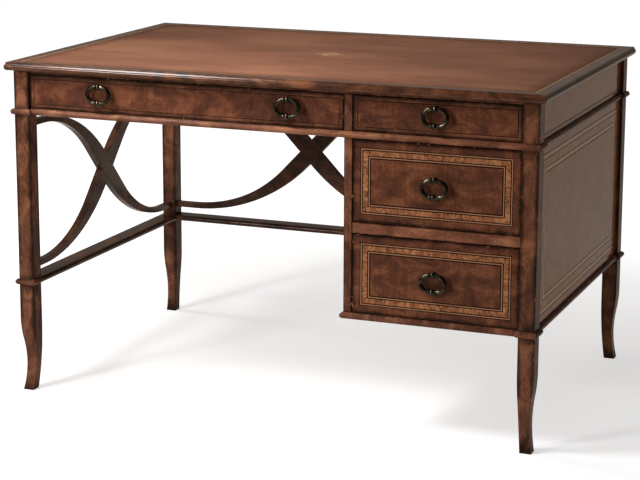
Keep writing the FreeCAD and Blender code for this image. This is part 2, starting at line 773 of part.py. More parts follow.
def drawer(name, x, z, pulls, rise, lined):
    """A drawer for the opening x by z; pulls maps each ring's name to its place along x, and rise is
    how far the rings' pivots are above the middle of the opening."""
    left, right = x
    floor, ceiling = z
    box_left = f"{left} + box_clear"
    box_right = f"{right} - box_clear"
    inner_left = f"{box_left} + box_board"
    inner_right = f"{box_right} - box_board"
    box_floor = f"{floor} + run_gap"
    box_top = f"{ceiling} - box_headroom"
    bottom_z = (f"{box_floor} + bottom_rise", f"{box_floor} + bottom_rise + bottom_thick")
    pull_z = f"({floor} + {ceiling}) / 2 + {rise}"

    groove_x = (f"{inner_left} - groove_depth", f"{inner_right} + groove_depth")
    groove_y = ("front_back_y - groove_depth", "box_end_y")
    groove_z = (bottom_z[0], f"{bottom_z[1]} + groove_play")
    groove = board(f"{name}_groove", groove_x, groove_y, groove_z)

    front_x = (f"{left} + front_gap", f"{right} - front_gap")
    front_z = (f"{floor} + front_gap", f"{ceiling} - front_gap")
    waste = [groove]
    for pull, pull_x in pulls.items():
        hole_y = ("-carcass_y", "front_back_y")
        waste.append(rod(f"{pull}_hole", "y", hole_y, (pull_x, pull_z), "shank_r + shank_play"))
    if lined:
        line_y = ("-carcass_y", "line_depth - carcass_y")
        rim = [(f"{low} + line_inset", f"{high} - line_inset") for low, high in (front_x, front_z)]
        field = [(f"{low} + line_width", f"{high} - line_width") for low, high in rim]
        line_rim = board(f"{name}_line_rim", rim[0], line_y, rim[1])
        line_field = board(f"{name}_line_field", field[0], line_y, field[1])
        waste.append(cut(f"{name}_line", line_rim, line_field))
    front_stock = board(f"{name}_front_stock", front_x, ("-carcass_y", "front_back_y"), front_z)
    keep(cut(f"{name}_front", front_stock, *waste))

    box_y = ("front_back_y", "box_end_y")
    side_z = (box_floor, box_top)
    left_stock = board(f"{name}_left_stock", (box_left, inner_left), box_y, side_z)
    right_stock = board(f"{name}_right_stock", (inner_right, box_right), box_y, side_z)
    back_y = ("box_end_y - box_board", "box_end_y")
    keep(group(
        f"{name}_box",
        cut(f"{name}_left", left_stock, groove),
        cut(f"{name}_right", right_stock, groove),
        board(f"{name}_back", (inner_left, inner_right), back_y, (bottom_z[1], box_top)),
    ))
    bottom_x = (f"{inner_left} - bottom_tongue", f"{inner_right} + bottom_tongue")
    keep(board(f"{name}_bottom", bottom_x, ("front_back_y - bottom_tongue", "box_end_y"), bottom_z))

    posts = [post(f"{pull}_post", pull_x, pull_z) for pull, pull_x in pulls.items()]
    keep(group(f"{name}_posts", *posts))
    for pull, pull_x in pulls.items():
        ring(pull, pull_x, pull_z)


WIDE_X = ("-leg_inner_x", "pedestal_x")
WIDE_PULLS = {
    "wide_ring_left": "-leg_inner_x + wide_pull_left",
    "wide_ring_right": "pedestal_x - wide_pull_right",
}
UPPER_Z = ("mid_rail_top", "frieze_bead_z")
LOWER_Z = ("base_top", "mid_rail_z")
SMALL_PULLS = {"small_ring": "pedestal_middle"}
UPPER_PULLS = {"upper_ring": "pedestal_middle"}
LOWER_PULLS = {"lower_ring": "pedestal_middle"}
drawer("wide_drawer", WIDE_X, FRIEZE_OPENING_Z, WIDE_PULLS, "frieze_pull_rise", lined=True)
drawer("small_drawer", PEDESTAL_X, FRIEZE_OPENING_Z, SMALL_PULLS, "frieze_pull_rise", lined=True)
drawer("upper_drawer", PEDESTAL_X, UPPER_Z, UPPER_PULLS, "pedestal_pull_rise", lined=False)
drawer("lower_drawer", PEDESTAL_X, LOWER_Z, LOWER_PULLS, "pedestal_pull_rise", lined=False)

doc.recompute()

# Nothing is written unless every feature is sound
for thing in doc.Objects:
    if "Invalid" in thing.State or "Error" in thing.State:
        raise RuntimeError(f"{thing.Label} is {thing.State}")
for node in NODES:
    if node.Shape.isNull() or not node.Shape.isValid():
        raise RuntimeError(f"{node.Label} has no sound shape")

os.makedirs("parts", exist_ok=True)
for node in NODES:
    node.Shape.exportStep(f"parts/{node.Label}.step")
print(f"{len(NODES)} nodes, {sum(len(node.Shape.Solids) for node in NODES)} solids")
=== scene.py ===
# %% [markdown]
# # A pedestal desk, dressed in Blender
# The desk was built as solids first. Every board, drawer and ring pull is a CAD node, in metres, and rides
# on the body that moves it. Blender adds what plain solids do not have: eased arrises, the hide on the
# top, veneers and inlay, glaze with painted shade along the arrises, wear and light. The frame is loaded
# first.

# %% Load the frame
import json
from math import cos, radians, sin

import bpy
from mathutils import Matrix, Vector

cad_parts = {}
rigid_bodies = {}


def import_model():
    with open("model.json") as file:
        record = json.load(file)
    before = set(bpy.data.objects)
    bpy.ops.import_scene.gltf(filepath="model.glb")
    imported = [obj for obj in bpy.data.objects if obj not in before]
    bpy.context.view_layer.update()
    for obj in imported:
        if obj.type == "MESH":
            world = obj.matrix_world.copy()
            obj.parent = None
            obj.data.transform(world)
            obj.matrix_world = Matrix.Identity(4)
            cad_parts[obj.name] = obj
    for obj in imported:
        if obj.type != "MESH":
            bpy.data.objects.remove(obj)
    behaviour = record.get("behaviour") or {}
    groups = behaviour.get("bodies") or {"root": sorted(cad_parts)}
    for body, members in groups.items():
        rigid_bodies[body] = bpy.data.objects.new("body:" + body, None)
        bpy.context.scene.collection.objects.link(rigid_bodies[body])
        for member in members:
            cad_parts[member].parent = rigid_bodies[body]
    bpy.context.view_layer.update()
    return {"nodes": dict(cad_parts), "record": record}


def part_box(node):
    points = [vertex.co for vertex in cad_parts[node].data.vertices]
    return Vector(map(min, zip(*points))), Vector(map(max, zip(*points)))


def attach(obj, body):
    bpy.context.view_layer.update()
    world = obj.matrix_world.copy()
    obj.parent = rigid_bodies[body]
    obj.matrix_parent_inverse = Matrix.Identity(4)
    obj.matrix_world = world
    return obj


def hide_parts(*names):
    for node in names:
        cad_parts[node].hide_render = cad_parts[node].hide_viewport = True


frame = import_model()
MM = 0.001

# %% [markdown]
# ## Three helpers for every material
# Paint and veneer colours are written as sRGB hex values, the way a colour picker shows them, but shaders
# work in linear light, so one function converts them. A material is a small web of nodes. Typing each
# node, setting and link apart is long and hides the idea, so a second function adds one node with all of
# them. The third starts a material: it clears the nodes that Blender puts there and adds Object
# coordinates, which stay with a piece when it moves.

# %% Colours and nodes
def tone(hex_colour):
    """An sRGB hex colour such as #8A5538 as linear red, green, blue and alpha, by the sRGB curve."""
    channels = [int(hex_colour[i:i + 2], 16) / 255 for i in (1, 3, 5)]
    linear = [c / 12.92 if c <= 0.04045 else ((c + 0.055) / 1.055) ** 2.4 for c in channels]
    return (*linear, 1.0)


def put(tree, kind, inputs=None, **settings):
    """Adds a node. An input that is a socket or another node is linked, and any other is set as a value.

    Inputs go by their label, or by their number, counted from zero, where labels repeat, as on a Math node.
    """
    node = tree.nodes.new("ShaderNode" + kind)
    for name, value in settings.items():
        setattr(node, name, value)
    for key, value in (inputs or {}).items():
        if isinstance(value, bpy.types.Node):
            value = next(socket for socket in value.outputs if socket.enabled)
        if isinstance(value, bpy.types.NodeSocket):
            tree.links.new(value, node.inputs[key])
        else:
            node.inputs[key].default_value = value
    return node


def start_material(name):
    """An empty material, its tree of nodes, and the Object coordinates that its patterns read."""
    material = bpy.data.materials.new(name)
    material.use_nodes = True
    material.node_tree.nodes.clear()
    place = put(material.node_tree, "TexCoord").outputs["Object"]
    return material, material.node_tree, place


# %% [markdown]
# ## The studio
# The desk stands on a white sweep under soft light, so the backdrop has no edge. A white world would do
# that alone, but polish mirrors all of it and dark wood turns grey. So the camera sees a white world,
# while the wood is lit by a much dimmer one, which is brighter only towards the back and left walls.

# %% World and view
WHITE = "#FFFFFF"
CAMERA_WHITE = 1.0
FILL_TONE = "#FFF0E0"
FILL_LIGHT = 0.07
BACK_LIGHT = 0.24
BACK_SIDE = Vector((-0.6, 0.8, 0.0))
BACK_START = 0.3
BACK_END = 0.9

world = bpy.data.worlds.new("white_studio")
world.use_nodes = True
tree = world.node_tree
tree.nodes.clear()
backdrop = put(tree, "Background", {"Color": tone(WHITE), "Strength": CAMERA_WHITE})
direction = put(tree, "TexCoord").outputs["Generated"]
backward = put(tree, "VectorMath", {0: direction, 1: BACK_SIDE}, operation="DOT_PRODUCT")
wall = put(tree, "MapRange", {
    "Value": backward,
    "From Min": BACK_START, "From Max": BACK_END,
    "To Min": FILL_LIGHT, "To Max": BACK_LIGHT,
}, interpolation_type="SMOOTHSTEP")
fill = put(tree, "Background", {"Color": tone(FILL_TONE), "Strength": wall})
by_camera = put(tree, "LightPath").outputs["Is Camera Ray"]
chosen = put(tree, "MixShader", {"Fac": by_camera, 1: fill, 2: backdrop})
put(tree, "OutputWorld", {"Surface": chosen})
bpy.context.scene.world = world
bpy.context.scene.view_settings.view_transform = "Standard"
print("world ready, fill light", FILL_LIGHT, "to", BACK_LIGHT)

# %% [markdown]
# ### Floor
# The floor is a wide sheet of pale paper. A plane is added at the origin and stretched and moved in edit
# mode, so that its place is in its mesh and the object itself stays at the origin.

# %% Floor sheet
FLOOR_LOW = Vector((-4.0, -1.7, 0.0))
FLOOR_HIGH = Vector((7.0, 7.0, 0.0))

bpy.ops.object.select_all(action="DESELECT")
bpy.ops.mesh.primitive_plane_add(size=1, location=(0, 0, 0))
floor = bpy.context.object
floor.name = "studio_floor"
bpy.ops.object.mode_set(mode="EDIT")
bpy.ops.transform.resize(value=(*(FLOOR_HIGH - FLOOR_LOW).xy, 1))
bpy.ops.transform.translate(value=(FLOOR_LOW + FLOOR_HIGH) / 2)
bpy.ops.object.mode_set(mode="OBJECT")
print("floor", tuple(round(v, 2) for v in floor.dimensions))

# %% [markdown]
# A lamp behind the paper makes it glow a little, more so far from the desk. Polish would mirror all of
# that glow and turn grey. So, as with the world, the camera sees the full glow, while the desk gets a
# weaker and warmer one, which has a strength of its own to the right, in front of the polished end.

# %% Glow of the floor
GLOW_NEAR = 0.57
GLOW_BOUNCE = 0.28
GLOW_FAR = 0.95
GLOW_RIGHT = 0.32
GLOW_START = 0.5
GLOW_END = 2.2
GLOW_TONE = "#FFF0DC"
RIGHT_SIDE = Vector((1.0, 0.22, 0.0))
RIGHT_START = 0.88
RIGHT_END = 1.0
PAPER_TONE = "#CFCFCF"
PAPER_ROUGHNESS = 0.9
PAPER_GLOSS = 0.1

paper, tree, spot = start_material("white_sweep_paper")
from_desk = put(tree, "VectorMath", {0: spot}, operation="LENGTH")
shown, bounced = [put(tree, "MapRange", {
    "Value": from_desk,
    "From Min": GLOW_START, "From Max": GLOW_END,
    "To Min": near, "To Max": GLOW_FAR,
}, interpolation_type="SMOOTHSTEP") for near in (GLOW_NEAR, GLOW_BOUNCE)]
rightward = put(tree, "VectorMath", {0: spot, 1: RIGHT_SIDE}, operation="DOT_PRODUCT")
sided = put(tree, "MapRange", {
    "Value": rightward,
    "From Min": RIGHT_START, "From Max": RIGHT_END,
    "To Min": bounced, "To Max": GLOW_RIGHT,
}, interpolation_type="SMOOTHSTEP")
by_camera = put(tree, "LightPath").outputs["Is Camera Ray"]
lamp = put(tree, "Mix", {"Factor": by_camera, "A": sided, "B": shown})
warmth = put(tree, "Mix", {"Factor": by_camera, "A": tone(GLOW_TONE), "B": tone(WHITE)}, data_type="RGBA")
matte = put(tree, "BsdfPrincipled", {
    "Base Color": tone(PAPER_TONE),
    "Roughness": PAPER_ROUGHNESS,
    "Specular IOR Level": PAPER_GLOSS,
    "Emission Color": warmth,
    "Emission Strength": lamp,
})
put(tree, "OutputMaterial", {"Surface": matte})
floor.data.materials.append(paper)
print("floor glow", GLOW_NEAR, "to", GLOW_FAR)

# %% [markdown]
# ### Lights
# Three soft boxes stand round the desk. The key lights the fronts from the left. A weak box with a grid,
# which narrows its beam, hangs over the front edge of the top. The third stands low on the left, below the
# plane of the top, because the leather would otherwise mirror it in views from the right end.

# %% Soft boxes
DESK_MIDDLE = Vector((0.0, 0.0, 0.5))
FRONT_EDGE = Vector((-0.15, -0.38, 0.76))


def soft_box(name, place, size, power, aim=DESK_MIDDLE, spread=180):
    """A square area light at a place, turned to its aim; a grid before it narrows its spread in degrees."""
    light = bpy.data.lights.new(name, "AREA")
    light.shape = "SQUARE"
    light.size = size
    light.energy = power
    light.spread = radians(spread)
    box = bpy.data.objects.new(name, light)
    box.location = place
    box.rotation_euler = (aim - Vector(place)).to_track_quat("-Z", "Y").to_euler()
    bpy.context.scene.collection.objects.link(box)
    print(name, "at", place, power, "W")


soft_box("key_front_left", place=(-1.8, -3.2, 1.5), size=0.5, power=60)
soft_box("grid_over_front", place=(-0.95, -1.05, 1.9), size=0.5, power=6, aim=FRONT_EDGE, spread=70)
soft_box("side_left", place=(-3.0, 0.45, 0.40), size=0.6, power=70)

# %% [markdown]
# A large sheet of white cloth hangs overhead. It could be one more area light, but a sun with a wide angle
# gives the same even light all over and shadows just as soft.

# %% Overhead sheet
SHEET_POWER = 0.21
SHEET_ANGLE = radians(75)
SHEET_AIM = Vector((0.30, 0.22, -1.0))

sheet = bpy.data.lights.new("overhead_sheet", "SUN")
sheet.energy = SHEET_POWER
sheet.angle = SHEET_ANGLE
overhead = bpy.data.objects.new("overhead_sheet", sheet)
overhead.rotation_euler = SHEET_AIM.to_track_quat("-Z", "Y").to_euler()
bpy.context.scene.collection.objects.link(overhead)
print("overhead sheet", SHEET_POWER, "W per square metre")

# %% [markdown]
# ## The camera
# The photograph was taken from the desk's front right corner with a long lens, a little above the top. The
# turn, height and distance were found by fitting the desk's known corners to the picture, which is 640
# pixels wide. Its optical axis lies 50 pixels above the middle, so the lens is shifted by that much. A
# camera looks along its own minus Z, so its three axes are worked out as vectors and put in one matrix.

# %% Camera
IMAGE_WIDTH = 640
SENSOR_MM = 36.0
FOCAL_PIXELS = 1951.4
AXIS_ABOVE_MIDDLE = 50
CAMERA_TURN = radians(21.534)
CAMERA_RISE = radians(11.681)
CAMERA_ROLL = radians(0.165)
CAMERA_PLACE = Vector((1.6168, -4.1575, 1.3648))

behind = Vector((
    sin(CAMERA_TURN) * cos(CAMERA_RISE),
    -cos(CAMERA_TURN) * cos(CAMERA_RISE),
    sin(CAMERA_RISE),
))
level = Vector((0, 0, 1)).cross(behind).normalized()
upward = behind.cross(level)
right = cos(CAMERA_ROLL) * level + sin(CAMERA_ROLL) * upward
lens = bpy.data.cameras.new("photo_view")
lens.sensor_width = SENSOR_MM
lens.lens = FOCAL_PIXELS * SENSOR_MM / IMAGE_WIDTH
lens.shift_y = -AXIS_ABOVE_MIDDLE / IMAGE_WIDTH
camera = bpy.data.objects.new("photo_view", lens)
axes = Matrix((right, behind.cross(right), behind)).transposed()
camera.matrix_world = Matrix.Translation(CAMERA_PLACE) @ axes.to_4x4()
bpy.context.scene.collection.objects.link(camera)
bpy.context.scene.camera = camera
print("lens", round(lens.lens, 1), "mm")

# %% [markdown]
# ## Patterns at their real size
# Wood figure, leather pebble and patches on metal are all noise, only at other sizes. A texture node knows
# a scale and no millimetres, so a helper works the scale out from the size of a cell, which may be longer
# along the grain than across it. Boards are cut from different planks, so a seed moves the pattern on.

# %% Cells and stops
PLANK_STEP = Vector((1.7, 2.3, 3.1))


def stretch(grain, across, along):
    """Scale of a pattern whose cells have these sizes in millimetres, across and along the grain."""
    return [1 / ((along if axis == grain else across) * MM) for axis in "xyz"]


def cells(tree, place, kind, grain, size, seed=0, **inputs):
    """A texture whose cells have a size in mm, across and along a direction, moved on by a plank's seed."""
    moved = put(tree, "Mapping", {
        "Vector": place,
        "Location": seed * PLANK_STEP,
        "Scale": stretch(grain, *size),
    })
    return put(tree, kind, {"Vector": moved, "Scale": 1.0, **inputs})


def set_stops(ramp, places, colours):
    """Gives a colour ramp its stops: places from 0 to 1, and a hex colour for each of them."""
    elements = ramp.color_ramp.elements
    while len(elements) < len(places):
        elements.new(1.0)
    for element, position, colour in zip(elements, places, colours):
        element.position = position
        element.color = tone(colour)


# %% [markdown]
# ## Mahogany, stained, glazed and polished
# All show wood is mahogany with a clouded figure, stained red brown, then glazed and polished. The figure
# is built from three noises: clouds some centimetres wide, a mottle of soft strokes, which cross the grain
# on the drawer fronts, and fine flecks, drawn coarser than real pores so that a camera can see them. A few
# dark specks come on top.

# %% Figure of the wood
CLOUD_SIZE = (46, 72)
MOTTLE_SIZE = (7, 32)
FLECK_SIZE = (2.4, 6)
SPECK_SIZE = (20, 20)
CLOUD_NOISE = {"Detail": 5.0, "Roughness": 0.62, "Distortion": 0.8}
MOTTLE_NOISE = {"Detail": 3.0}
FLECK_NOISE = {"Detail": 2.0}
MOTTLE_SHARE = 0.18
FLECK_SHARE = 0.16
SHADE_STOPS = (0.38, 0.50, 0.63)
SPECK_TONE = "#1C0F09"
SPECK_CORE = 0.04
SPECK_RIM = 0.09
SPECK_DARK = 0.6


def wood_figure(tree, place, grain, shades, seed, cloud=CLOUD_SIZE, strokes=None):
    """Clouds, mottle, flecks and specks of one plank: gives its colour and its height."""
    clouds = cells(tree, place, "TexNoise", grain, cloud, seed, **CLOUD_NOISE)
    mottle = cells(tree, place, "TexNoise", strokes or grain, MOTTLE_SIZE, seed, **MOTTLE_NOISE)
    flecks = cells(tree, place, "TexNoise", grain, FLECK_SIZE, seed, **FLECK_NOISE)
    soft = put(tree, "Mix", {"Factor": MOTTLE_SHARE, "A": clouds, "B": mottle})
    height = put(tree, "Mix", {"Factor": FLECK_SHARE, "A": soft, "B": flecks})
    colour = put(tree, "ValToRGB", {"Fac": height})
    set_stops(colour, SHADE_STOPS, shades)
    specks = cells(tree, place, "TexVoronoi", grain, SPECK_SIZE, seed)
    inside = put(tree, "MapRange", {
        "Value": specks,
        "From Min": SPECK_CORE, "From Max": SPECK_RIM,
        "To Min": SPECK_DARK, "To Max": 0.0,
    })
    speckled = put(tree, "Mix", {"Factor": inside, "A": colour, "B": tone(SPECK_TONE)}, data_type="RGBA")
    return speckled, height


# %% [markdown]
# ### The way to the arris
# Glaze, painted shade and wear follow the arrises of a board, so its material has to know how far each
# point is from them. The board's box gives the way to its faces along x, y and z. On the surface one of
# the three is nothing, so the middle one of the three is the way to the nearest arris.

# %% Distances on a board
def face_distances(tree, place, low, high):
    """How far a point is inside the box, as three sockets: along x, y and z, in metres."""
    middle = (low + high) / 2
    off = put(tree, "VectorMath", {0: place, 1: middle}, operation="SUBTRACT")
    away = put(tree, "VectorMath", {0: off}, operation="ABSOLUTE")
    inside = put(tree, "VectorMath", {0: high - middle, 1: away}, operation="SUBTRACT")
    return put(tree, "SeparateXYZ", {"Vector": inside}).outputs


def arris_distance(tree, place, low, high):
    """The way from a point on a board's surface to the nearest arris, in metres."""
    along_x, along_y, along_z = face_distances(tree, place, low, high)
    least = put(tree, "Math", {0: along_x, 1: along_y}, operation="MINIMUM")
    most = put(tree, "Math", {0: along_x, 1: along_y}, operation="MAXIMUM")
    capped = put(tree, "Math", {0: most, 1: along_z}, operation="MINIMUM")
    return put(tree, "Math", {0: least, 1: capped}, operation="MAXIMUM")


# %% [markdown]
# ### Glaze and painted shade
# Glaze is a dark stain that gathers where a rag cannot wipe it off, which on a square board is near the
# arris. Along the arris itself it is a thin dark line, which is painted shade as well as glaze: it stands
# in for the shade in the gaps between the drawers and the frame. Further in it fades, and the figure's own
# height makes it ragged. On the legs it also gathers at the collars and at the foot.

# %% Glaze and painted shade near the arrises
# The glaze tone also paints shade: the dark line along each arris stands in for the shade in the gaps.
GLAZE_AND_SHADE_TONE = "#160E08"
SOFT_GLAZE_AND_SHADE = 0.84
LINE_GLAZE_AND_SHADE = 0.92
LINE_FULL = 0.5 * MM
LINE_END = 2.2 * MM
RAGGED_GAIN = 1.6
RAGGED_SHIFT = -0.8


def to_arris_or_level(tree, place, arris, reach, levels):
    """The way to the nearest arris or level; a level's own reach in mm is scaled to the board's reach."""
    nearest = arris
    height = put(tree, "SeparateXYZ", {"Vector": place}).outputs["Z"]
    for level, level_reach in levels:
        off = put(tree, "Math", {0: height, 1: level}, operation="SUBTRACT")
        away = put(tree, "Math", {0: off}, operation="ABSOLUTE")
        scaled = put(tree, "Math", {0: away, 1: reach / (level_reach * MM)}, operation="MULTIPLY")
        nearest = put(tree, "Math", {0: nearest, 1: scaled}, operation="MINIMUM")
    return nearest


def glaze_and_shade(tree, place, colour, height, arris, reach, levels):
    """Paints glaze and shade: darkens a board within reach of its arrises and levels, in metres."""
    nearest = to_arris_or_level(tree, place, arris, reach, levels)
    ragged = put(tree, "Math", {
        0: height,
        1: RAGGED_GAIN * reach,
        2: RAGGED_SHIFT * reach,
    }, operation="MULTIPLY_ADD")
    edge = put(tree, "Math", {0: nearest, 1: ragged}, operation="ADD")
    soft = put(tree, "MapRange", {
        "Value": edge,
        "From Min": 0.0, "From Max": reach,
        "To Min": SOFT_GLAZE_AND_SHADE, "To Max": 0.0,
    }, interpolation_type="SMOOTHSTEP")
    line = put(tree, "MapRange", {
        "Value": arris,
        "From Min": LINE_FULL, "From Max": LINE_END,
        "To Min": LINE_GLAZE_AND_SHADE, "To Max": 0.0,
    })
    dark = put(tree, "Math", {0: soft, 1: line}, operation="MAXIMUM")
    return put(tree, "Mix", {"Factor": dark, "A": colour, "B": tone(GLAZE_AND_SHADE_TONE)}, data_type="RGBA")


# %% [markdown]
# ### Wear
# A used desk is rubbed pale in spots along its arrises and has dark nicks in them. Both are made from one
# noise: where it is low the arris is rubbed, and where it is high it is nicked.

# %% Rubbed spots and nicks
WORN_TONE = "#A87850"
NICK_TONE = "#0C0705"
NICK_SIZE = (9, 9)
NICK_NOISE = {"Detail": 3.0}
# For each kind: the noise where it starts, the noise where it is full, its width from the arris, its tone.
WEAR = (
    (0.33, 0.30, 1.4 * MM, WORN_TONE),
    (0.67, 0.70, 3 * MM, NICK_TONE),
)


def wear(tree, place, colour, arris):
    """Adds rubbed spots and nicks along a board's arrises."""
    spots = cells(tree, place, "TexNoise", "x", NICK_SIZE, **NICK_NOISE)
    for start, full, width, paint in WEAR:
        spot = put(tree, "MapRange", {
            "Value": spots,
            "From Min": start, "From Max": full,
            "To Min": 0.0, "To Max": 1.0,
        })
        on_arris = put(tree, "Math", {0: arris, 1: width}, operation="LESS_THAN")
        amount = put(tree, "Math", {0: spot, 1: on_arris}, operation="MULTIPLY")
        colour = put(tree, "Mix", {"Factor": amount, "A": colour, "B": tone(paint)}, data_type="RGBA")
    return colour


def glaze_shade_and_wear(tree, place, colour, height, low, high, reach, levels=()):
    """Glaze and painted shade within reach of the arrises, in metres, then rubbed spots and nicks on them.
    """
    arris = arris_distance(tree, place, low, high)
    glazed_and_shaded = glaze_and_shade(tree, place, colour, height, arris, reach, levels)
    return wear(tree, place, glazed_and_shaded, arris)


# %% [markdown]
# ### Polish
# Polish is a thin clear film. It shines a little less where the wood is open, so roughness follows the
# figure, and a fine relief breaks up its reflections. Its mirror part is set low, because a white studio
# would otherwise lie over every board as a grey veil.

# %% Polish over the colour
FIGURE_LOW = 0.3
FIGURE_HIGH = 0.7
POLISH_BUMP = 0.35
DULL_ROUGHNESS = 0.9


def polish(material, tree, colour, height, smooth, rough, relief, gloss, dull=0.0):
    """Polish whose roughness and relief, in metres, follow the figure; where dull is one it stays rough."""
    polished = put(tree, "MapRange", {
        "Value": height,
        "From Min": FIGURE_LOW, "From Max": FIGURE_HIGH,
        "To Min": smooth, "To Max": rough,
    })
    roughness = put(tree, "Mix", {"Factor": dull, "A": polished, "B": DULL_ROUGHNESS})
    bump = put(tree, "Bump", {"Strength": POLISH_BUMP, "Distance": relief, "Height": height})
    wood = put(tree, "BsdfPrincipled", {
        "Base Color": colour,
        "Roughness": roughness,
        "Specular IOR Level": gloss,
        "Normal": bump,
    })
    put(tree, "OutputMaterial", {"Surface": wood})
    return material


# %% [markdown]
# ### One plank, one material
# Five sets of shades serve most of the show wood: the frame, the lighter rails, the darker edge of the
# top, the darkest curved work and the redder fronts. A plain plank is a call of one function with the box
# of its board, so the grain follows the long side of that board and the glaze and painted shade land on
# its arrises. The inlaid fronts and the end are put together from the same steps further down.

# %% Plank materials
FRAME_SHADES = ("#432A1F", "#603C2C", "#84553D")
RAIL_SHADES = ("#563628", "#764A37", "#98674A")
EDGE_SHADES = ("#301C12", "#52301E", "#7A4A2E")
DARK_SHADES = ("#22140D", "#3A2216", "#583622")
FRONT_SHADES = ("#3C261D", "#5A3526", "#784A32")
SATIN = {"smooth": 0.24, "rough": 0.30, "relief": 0.03 * MM, "gloss": 0.06}
WAXED = {"smooth": 0.20, "rough": 0.26, "relief": 0.03 * MM, "gloss": 0.18}
RUBBED_EDGE = {"smooth": 0.16, "rough": 0.22, "relief": 0.02 * MM, "gloss": 0.20}
FULL_POLISH = {"smooth": 0.10, "rough": 0.14, "relief": 0.01 * MM, "gloss": 0.12}


def corners_of(node):
    """The lowest and the highest corner of a CAD node's box."""
    return [Vector(corner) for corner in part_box(node)]


def long_axis(low, high):
    """The letter of a board's longest side, which its grain follows."""
    size = high - low
    return max("xyz", key=lambda axis: getattr(size, axis))


def plank(name, node, shades, finish, seed, reach, levels=()):
    """Polished mahogany for the board of one CAD node."""
    material, tree, place = start_material(name)
    low, high = corners_of(node)
    colour, height = wood_figure(tree, place, long_axis(low, high), shades, seed)
    colour = glaze_shade_and_wear(tree, place, colour, height, low, high, reach, levels)
    return polish(material, tree, colour, height, **finish)


# %% [markdown]
# ## Bodies and slots
# A piece that stands for a CAD node has to move and be finished as that node is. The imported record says
# which body carries each node and which slot of material it has, so both are looked up by the node's name.

# %% What carries each node
record = frame["record"]
body_of = {node: body for body, members in record["behaviour"]["bodies"].items() for node in members}
slot_of = {row["node"]: row["material_slot"] for row in record["subparts"]}

# %% [markdown]
# ## Eased arrises
# No cabinet maker leaves a saw-sharp arris: each is eased with a plane and rounded by every polish, and it
# is this thin round that catches the light. A CAD node's mesh is loose triangles with sharp arrises, so
# the board is copied, its triangles are merged, its flat faces are made whole, and its sharp edges get a
# small bevel. Smooth shading would bend the light on the flat faces towards their rounds, so the normals
# are then weighted by face size. The copy stands for the node and rides on the same body.

# %% Copy a board and ease it
MERGE_WITHIN = 0.01 * MM
FLAT_WITHIN = radians(0.5)
SHARP_FROM = radians(40)
SMOOTH_UP_TO = radians(35)
ROUND_SEGMENTS = 2
ROUND_PROFILE = 0.5


def only(piece):
    """Selects one object and makes it the active one."""
    bpy.ops.object.select_all(action="DESELECT")
    piece.select_set(True)
    bpy.context.view_layer.objects.active = piece


def ease(node, width):
    """A copy of a CAD node's board with its sharp edges rounded by a width in metres."""
    only(frame["nodes"][node])
    bpy.ops.object.duplicate()
    board = bpy.context.object
    board.name = node + "_eased"
    bpy.ops.object.mode_set(mode="EDIT")
    bpy.ops.mesh.select_all(action="SELECT")
    bpy.ops.mesh.remove_doubles(threshold=MERGE_WITHIN)
    bpy.ops.mesh.customdata_custom_splitnormals_clear()
    bpy.ops.mesh.select_all(action="SELECT")
    bpy.ops.mesh.dissolve_limited(angle_limit=FLAT_WITHIN)
    bpy.ops.mesh.select_all(action="DESELECT")
    bpy.ops.mesh.select_mode(type="EDGE")
    bpy.ops.mesh.edges_select_sharp(sharpness=SHARP_FROM)
    bpy.ops.mesh.bevel(offset=width, segments=ROUND_SEGMENTS, profile=ROUND_PROFILE, clamp_overlap=True)
    bpy.ops.object.mode_set(mode="OBJECT")
    bpy.ops.object.shade_smooth_by_angle(angle=SMOOTH_UP_TO)
    flat = board.modifiers.new("flat_faces", "WEIGHTED_NORMAL")
    flat.keep_sharp = True
    bpy.ops.object.modifier_apply(modifier=flat.name)
    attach(board, body_of[node])
    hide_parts(node)
    return board


def finish_with(piece, material):
    """Gives a piece one material in place of those that it came with."""
    piece.data.materials.clear()
    piece.data.materials.append(material)


# %% [markdown]
# ## The frame
# Legs, collars, rails, aprons, panels and the edge of the top are all boards, and so are the curved braces
# and the stretchers. Each is eased and gets a plank of its own. The names of the boards are listed once,
# and their order in the list gives each plank its seed.

# %% Names of the boards
FRAME_BOARDS = (
    "leg_front_left", "leg_front_right", "leg_back_left", "leg_back_right",
    "frieze_collars", "lower_collars",
    "front_bead_rail", "bead_rail_left", "bead_rail_right", "bead_rail_back",
    "apron_left", "apron_back", "apron_right",
    "drawer_divider", "pedestal_stile", "pedestal_rail", "pedestal_base",
    "pedestal_side_left", "pedestal_side_right", "pedestal_back", "front_top_rail",
    "top_edge_front", "top_edge_back", "top_edge_left", "top_edge_right",
)
CURVED_BOARDS = (
    "brace_left_rising", "brace_left_falling", "brace_back_rising", "brace_back_falling",
    "stretcher_left", "stretcher_back",
)
LIGHT_RAILS = ("pedestal_rail", "front_bead_rail")
print(len(FRAME_BOARDS), "frame boards,", len(CURVED_BOARDS), "braces and stretchers")

# %% [markdown]
# Four looks cover them all: dark wax on the curved work, a rubbed edge round the top, lighter rails
# between the drawers, and satin on the rest. The glaze and painted shade reach further on the legs, and
# there they also gather within some centimetres of three heights: the floor and the two rows of collars.
# That darkening is glaze, and it also paints in the shade near the floor and around the collars.

# %% Frame boards
EASE = 0.9 * MM
BOARD_REACH = 3.2 * MM
LEG_REACH = 11 * MM
# Reaches in mm of the darkening at the floor and the collars, which is glaze and painted shade.
FLOOR_GLAZE_AND_SHADE = 48
FRIEZE_GLAZE_AND_SHADE = 26
LOWER_GLAZE_AND_SHADE = 42
FRAME_SEED = 5

frieze_height, lower_height = [
    sum(corner[2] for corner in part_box(node)) / 2 for node in ("frieze_collars", "lower_collars")
]
leg_levels = ((0.0, FLOOR_GLAZE_AND_SHADE), (frieze_height, FRIEZE_GLAZE_AND_SHADE), (lower_height, LOWER_GLAZE_AND_SHADE))


